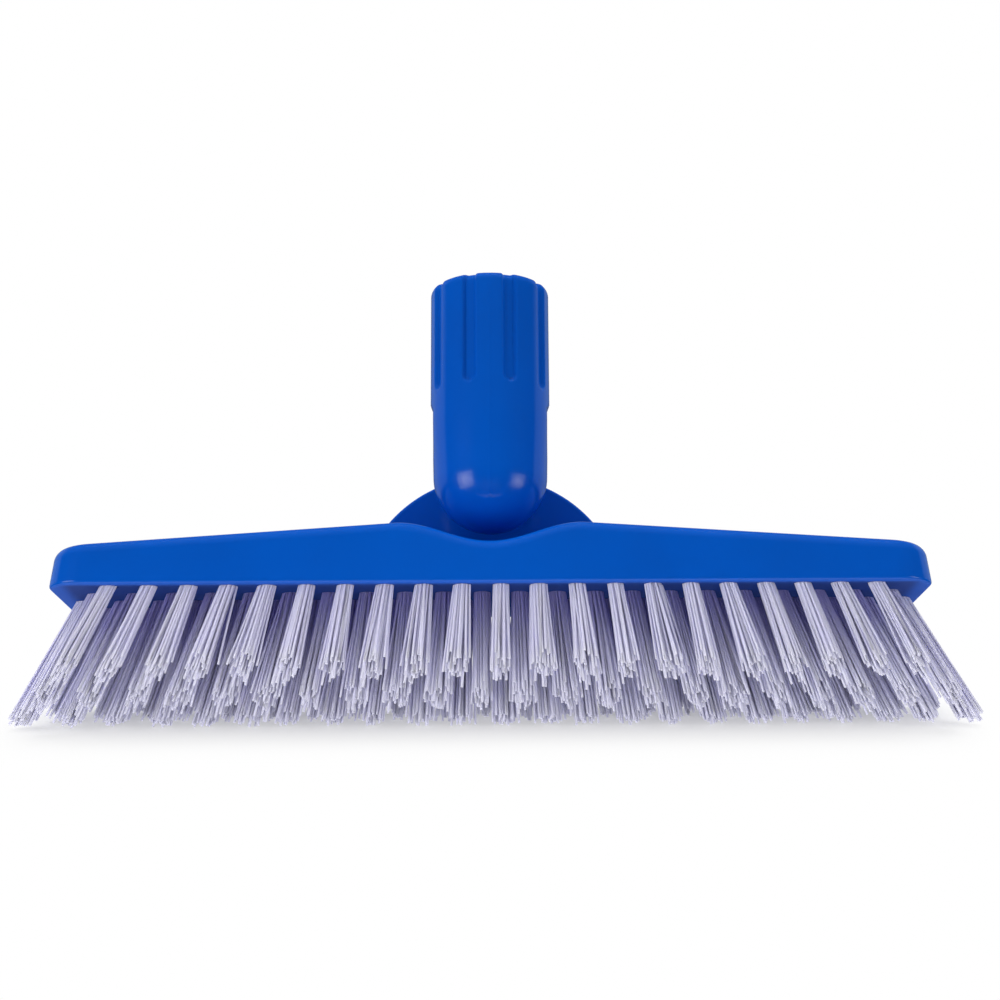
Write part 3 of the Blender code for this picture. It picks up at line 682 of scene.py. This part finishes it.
def fluteTree():
    form = socket
    net, given = openTree("flutes", [
        ("Flutes", "Int"), ("Flute Floor", "Float"), ("Flute Top", "Float"), ("Flute Depth", "Float"),
        ("Flute End", "Float"), ("Sleeve Radius", "Float"), ("Barrel Radius", "Float"),
        ("Shoulder", "Float"), ("Bore Radius", "Float"), ("Bore Floor", "Float"), ("Rim", "Float"),
        ("Thread Pitch", "Float"), ("Thread Height", "Float"), ("Seam", "Float"), ("Seam Width", "Float")])
    x, y, z = net.parts(net.add("GeometryNodeInputPosition"))
    radius = net.maths("SQRT", x * x + y * y)
    turn = net.maths("ARCTAN2", y, x)
    # distance from the middle line of the nearest flute, whose lower end is round
    sector = 2 * math.pi / given["Flutes"]
    across = (((turn + math.pi / 2) / sector) % 1 - 0.5) * sector * given["Sleeve Radius"]
    beyond = net.maths("MAXIMUM", given["Flute End"] + given["Flute Top"] - z, 0.0)
    away = net.maths("SQRT", across * across + beyond * beyond)
    hollow = 1 - net.between(given["Flute Floor"], given["Flute Top"], away)
    bore = given["Bore Radius"]
    shell = net.between(bore + form["shellFrom"], bore + form["shellTo"], radius)
    # in front the barrel is flush with the sleeve, so the shoulder shows only at the sides
    front = net.between(form["flushSide"], form["flushFront"], -1 * y / net.maths("MAXIMUM", radius, 0.001))
    inset = (given["Sleeve Radius"] - given["Barrel Radius"]) * front
    flush = net.maths("MINIMUM", given["Sleeve Radius"] - radius, inset)
    flush = flush * net.between(form["flushLow"], form["flushHigh"], z)
    fluted = radius - hollow * shell * given["Flute Depth"]
    fluted = fluted + net.maths("MAXIMUM", flush, 0.0) * (z < given["Shoulder"] + form["flushLip"])
    # a coarse thread inside the bore, dying out at both ends
    phase = (z / given["Thread Pitch"] - turn / (2 * math.pi)) % 1
    ridge = 1 - net.between(form["ridgeTop"], form["ridgeFoot"], net.maths("ABSOLUTE", phase - 0.5) * 2)
    ends = (net.between(form["floorFadeFrom"], form["floorFadeTo"], z - given["Bore Floor"])
            * net.between(form["rimFadeFrom"], form["rimFadeTo"], given["Rim"] - z))
    inBore = (radius < bore + form["boreBand"]) * (radius > bore - form["boreBand"])
    threaded = radius - ridge * ends * inBore * given["Thread Height"]
    # a faint mould line down the middle in front and behind
    outside = radius > bore + form["seamWall"]
    middle = 1 - net.between(0.0, given["Seam Width"], net.maths("ABSOLUTE", x))
    middle = middle * (z < given["Rim"] - form["seamStop"])
    wanted = net.blend(outside, threaded, fluted + middle * given["Seam"])
    scale = wanted / net.maths("MAXIMUM", radius, 0.000001)
    shape = net.add("GeometryNodeSetPosition", None,
                    {"Geometry": given["Geometry"], "Position": net.vector(x * scale, y * scale, z)})
    return closeTree(net, shape, given)


def buildSocket():
    form = socket
    floor = form["rim"] - form["boreDepth"]
    inside = resampled([(0, floor), (form["bore"], floor)], form["floorStep"])
    inside += resampled([(form["bore"], floor), (form["bore"], form["rim"] - form["leadIn"]),
                         (form["bore"] + form["leadIn"], form["rim"])], form["step"])[1:]
    rim = arcPoints((form["sleeve"] - form["rimRound"], form["rim"] - form["rimRound"]),
                    form["rimRound"], 90, 0, form["rimSteps"])
    shoulder = form["shoulder"]
    # the shoulder under the sleeve, its two edges broken by a few tenths of a millimetre
    foot = [(form["sleeve"], shoulder + 0.0006), (form["sleeve"] - 0.0001, shoulder + 0.0002),
            (form["barrel"] + 0.0002, shoulder - form["shoulderSlope"] + 0.0003),
            (form["barrel"], shoulder - form["shoulderSlope"])]
    dome = arcPoints((0, 0), form["dome"], 0, -90, form["domeSteps"])
    outside = resampled(rim[-1:] + foot + [(form["barrel"], form["barrelFoot"])], form["step"])
    profile = inside + rim + outside[1:] + dome[:-1] + [(0, -form["dome"])]
    mesh = turned("socketBody", profile, form["sides"])
    obj = addObject("socketBody", mesh, blue)
    runTree(obj, fluteTree(), {
        "Flutes": form["flutes"], "Flute Floor": form["fluteFloor"], "Flute Top": form["fluteTop"],
        "Flute Depth": form["fluteDepth"], "Flute End": form["fluteEnd"], "Sleeve Radius": form["sleeve"],
        "Barrel Radius": form["barrel"], "Shoulder": form["shoulder"], "Bore Radius": form["bore"],
        "Bore Floor": floor, "Rim": form["rim"], "Thread Pitch": form["threadPitch"],
        "Thread Height": form["threadHeight"], "Seam": form["seam"], "Seam Width": form["seamWidth"],
        "Material": blue})
    obj.data.transform(Matrix.Translation((0, 0, form["pivot"])))
    pocket = bmesh.new()
    low = Vector((-form["pocketHalf"], form["pocketFront"], form["pivot"] - form["pocketLow"]))
    high = Vector((form["pocketHalf"], form["pocketBack"], form["pivot"] + floor + form["pocketOpen"]))
    bmesh.ops.create_cube(pocket, size=1, matrix=Matrix.Translation((low + high) / 2)
                          @ Matrix.Diagonal((*(high - low), 1)))
    cutOrJoin(obj, "DIFFERENCE", takeMesh(pocket, "nutPocket"))
    for name, radius, start in (("boltWay", form["boltWay"], form["boltWayFrom"]),
                                ("washerSeat", form["seatRadius"], form["seatFrom"])):
        cutOrJoin(obj, "DIFFERENCE", crossCylinder(name, radius, start, form["cutTo"], form["pivot"]))
    smooth(obj, form["sharp"])
    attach(obj, "socket")
    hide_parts("handle_socket")
    print("socket", len(obj.data.polygons), "faces")


buildSocket()

# Cross bolt with a low rounded head and a hexagon recess, and the washer under it.
bolt = {
    "pivot": 0.0677, "back": 0.0240, "seat": 0.0216, "head": 0.0055, "headRound": 0.0012, "roundSteps": 6,
    "shank": 0.0030, "tip": 0.0, "threadTo": 0.0080, "threadPitch": 0.0010, "threadDepth": 0.00045,
    "recess": 0.0040, "recessDepth": 0.0014, "cutBehind": 0.005, "sides": 64, "sharp": 35,
}


def buildBolt():
    form = bolt
    edge = arcPoints((form["head"] - form["headRound"], form["back"] - form["headRound"]),
                     form["headRound"], 90, 0, form["roundSteps"])
    profile = [(0, form["back"])] + edge + [(form["head"], form["seat"]), (form["shank"], form["seat"]),
                                            (form["shank"], form["threadTo"])]
    turns = int((form["threadTo"] - form["tip"]) / form["threadPitch"])
    for count in range(turns):
        start = form["threadTo"] - count * form["threadPitch"]
        profile += [(form["shank"] - form["threadDepth"], start - form["threadPitch"] / 2),
                    (form["shank"], start - form["threadPitch"])]
    profile = profile[:-1] + [(form["shank"] - form["threadDepth"], form["tip"]), (0, form["tip"])]
    mesh = turned("boltBody", profile, form["sides"])
    mesh.transform(Matrix.Translation((0, 0, form["pivot"])) @ Matrix.Rotation(-math.pi / 2, 4, "X"))
    obj = addObject("boltBody", mesh, steel)
    corner = form["recess"] / 2 / math.cos(math.pi / 6)
    cutOrJoin(obj, "DIFFERENCE", crossCylinder("recess", corner, form["back"] - form["recessDepth"],
                                               form["back"] + form["cutBehind"], form["pivot"], 6))
    smooth(obj, form["sharp"])
    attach(obj, "socket")
    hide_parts("pivot_bolt")
    print("bolt", len(obj.data.polygons), "faces")


buildBolt()

for node, material in (("pivot_washer", steel), ("lock_nut", steel), ("nut_ring", filament),
                       ("friction_washer", washerPlastic)):
    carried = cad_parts[node]
    carried.data.materials.clear()
    carried.data.materials.append(material)

# Stage: a white incline under the brush that a camera below it still sees. It falls away more steeply
# in front and at the sides, and ends in a low brow behind, so that the shadow shows between the tips.
stage = {
    "crest": 0.126, "slope": 0.36, "steepen": 2.2, "round": 0.004, "size": 1.6, "steps": 260,
    "brow": 0.051, "backSlope": 0.6, "white": (0.88, 0.88, 0.88, 1), "nearGlow": 0.20, "farGlow": 1.0,
    "fadeLine": 0.030, "fadeFront": 0.062, "fadeSide": 0.117, "fadeSideWidth": 0.020, "gap": 0.0004,
}


def buildStage():
    form = stage
    bm = bmesh.new()
    bmesh.ops.create_grid(bm, x_segments=form["steps"], y_segments=form["steps"], size=1)
    for vert in bm.verts:
        x, y = (math.copysign(abs(value) ** 2 * form["size"], value) for value in vert.co.xy)
        side = math.hypot(max(abs(x) - form["crest"], 0), form["round"]) - form["round"]
        behind = math.hypot(max(y - form["brow"], 0), form["round"]) - form["round"]
        z = form["slope"] * (min(y, form["brow"]) - side) - form["backSlope"] * behind
        z -= form["steepen"] * (side ** 2 + min(y, 0) ** 2)
        vert.co = (x, y, z - form["gap"])
    material = bpy.data.materials.new("stageWhite")
    material.use_nodes = True
    net = Net(material.node_tree)
    material.node_tree.nodes.clear()
    direct, glossy, through = rayKinds(net)
    seen = net.maths("MINIMUM", direct + glossy + through, 1.0)
    matt = net.add("ShaderNodeBsdfDiffuse", None, {"Color": form["white"]})
    glow = net.add("ShaderNodeEmission", None, {"Color": (1, 1, 1, 1), "Strength": 1.0})
    x, y = net.parts(objectPlace(net))[:2]
    # the shadow is left to the light near the brush; further off the floor is plain white
    beside = net.maths("MAXIMUM", net.maths("ABSOLUTE", x) - form["fadeSide"], 0.0) / form["fadeSideWidth"]
    before = net.maths("MAXIMUM", form["fadeLine"] - y, 0.0) / form["fadeFront"]
    away = net.between(0.0, 1.0, net.maths("SQRT", beside * beside + before * before))
    share = net.blend(away, form["nearGlow"], form["farGlow"])
    shown = net.add("ShaderNodeMixShader", None, {0: seen * share, 1: matt, 2: glow})
    net.add("ShaderNodeOutputMaterial", None, {"Surface": shown})
    obj = addObject("floor", takeMesh(bm, "floor"), material)
    obj.data.shade_smooth()
    return obj


floor = buildStage()

# Light: two soft-edged softboxes in front at the sides, which the dome mirrors, wider fills behind them,
# a low fill in front, the white floor's bounce under the tips, a lamp overhead and a room that is bright
# above and behind.
light = {
    "left": {"place": (-0.715, -0.542, -0.115), "size": (0.64, 0.54), "power": 4.8, "mirrored": True},
    "right": {"place": (0.766, -0.450, -0.145), "size": (0.56, 0.46), "power": 2.6, "mirrored": True},
    "leftFill": {"place": (-0.760, -0.470, -0.180), "size": (0.70, 0.60), "power": 2.8, "mirrored": False},
    "rightFill": {"place": (0.800, -0.400, -0.200), "size": (0.70, 0.60), "power": 1.9, "mirrored": False},
    "lowFill": {"place": (-0.02, -0.60, -0.26), "size": (0.50, 0.30), "power": 0.50, "mirrored": False},
    "bounce": {"place": (0.0, 0.01, -0.06), "size": (0.40, 0.10), "power": 0.10, "mirrored": False},
    "above": {"place": (0.0, -0.05, 1.0), "size": (0.9, 0.6), "power": 7.0, "mirrored": False},
    "aim": (0, 0, 0.06), "rim": 0.45, "edge": 0.36, "core": 0.42,
    "skyLow": 0.08, "skyHigh": 0.78, "skyFrom": -0.1, "skyTo": 0.8,
    "mirrorTop": 0.10, "mirrorSide": 0.54, "mirrorTint": (0.55, 0.75, 1.0, 1),
    "wallFrom": 0.08, "wallTo": 0.18, "wallDim": 0.6, "wallDimFrom": 0.75, "wallDimTo": 0.97,
    "wallFootFrom": -0.12, "wallFootTo": 0.0, "wallTopFrom": 0.55, "wallTopTo": 0.80,
    "topFrom": 0.4, "topTo": 0.8,
}


def softEdge(lamp):                                     # brightest in the middle, dim and soft at the rim
    lamp.use_nodes = True
    net = Net(lamp.node_tree)
    across = net.parts(net.add("ShaderNodeNewGeometry", None, None, "Parametric"))[:2]
    u, v = (net.maths("ABSOLUTE", part - 0.5) for part in across)
    box = 1 - net.between(light["edge"], 0.5, net.maths("MAXIMUM", u, v))
    core = 1 - net.between(0.0, light["core"], net.maths("SQRT", u * u + v * v))
    strength = box * (light["rim"] + (1 - light["rim"]) * core)
    net.feed(lamp.node_tree.nodes["Emission"].inputs["Strength"], strength)


def buildLight():
    form = light
    onlyObject = bpy.data.collections.new("onlyObject")     # the side lamps pass the floor by
    onlyObject.objects.link(floor)
    onlyObject.collection_objects[0].light_linking.link_state = "EXCLUDE"
    for name in ("left", "right", "leftFill", "rightFill", "lowFill", "bounce", "above"):
        box = light[name]
        lamp = bpy.data.lights.new(name, "AREA")
        lamp.shape = "RECTANGLE"
        lamp.size, lamp.size_y = box["size"]
        lamp.energy = box["power"]
        if box["mirrored"]:
            softEdge(lamp)
        obj = bpy.data.objects.new(name, lamp)
        bpy.context.scene.collection.objects.link(obj)
        obj.visible_glossy = box["mirrored"]
        if name != "above":
            obj.light_linking.receiver_collection = onlyObject
            obj.light_linking.blocker_collection = onlyObject
        towards = Vector(form["aim"]) - Vector(box["place"])
        turn = towards.to_track_quat("-Z", "Y").to_matrix().to_4x4()
        obj.matrix_world = Matrix.Translation(box["place"]) @ turn
    world = bpy.data.worlds.new("studio")
    bpy.context.scene.world = world
    world.use_nodes = True
    net = Net(world.node_tree)
    world.node_tree.nodes.clear()
    y, z = net.parts(net.add("ShaderNodeTexCoord", None, None, "Generated"))[1:]
    sky = net.blend(net.between(form["skyFrom"], form["skyTo"], z), form["skyLow"], form["skyHigh"])
    # polished faces see a pale wall behind the brush and a dark studio in front of it
    wall = net.between(form["wallFrom"], form["wallTo"], y)
    wall = wall * (1 - form["wallDim"] * net.between(form["wallDimFrom"], form["wallDimTo"], y))
    wall = wall * net.between(form["wallFootFrom"], form["wallFootTo"], z)
    wall = wall * (1 - net.between(form["wallTopFrom"], form["wallTopTo"], z)) * form["mirrorSide"]
    mirror = net.maths("MAXIMUM", wall, net.between(form["topFrom"], form["topTo"], z) * form["mirrorTop"])
    direct, glossy, through = rayKinds(net)
    polished = net.maths("MINIMUM", glossy + through, 1.0)
    power = net.blend(direct, net.blend(polished, sky, mirror), 1.0)
    tint = net.tint(polished, (1, 1, 1, 1), form["mirrorTint"])
    glow = net.add("ShaderNodeBackground", None, {"Color": tint, "Strength": power})
    net.add("ShaderNodeOutputWorld", None, {"Surface": glow})


buildLight()
bpy.context.scene.view_settings.view_transform = "Standard"

print("scene ready")
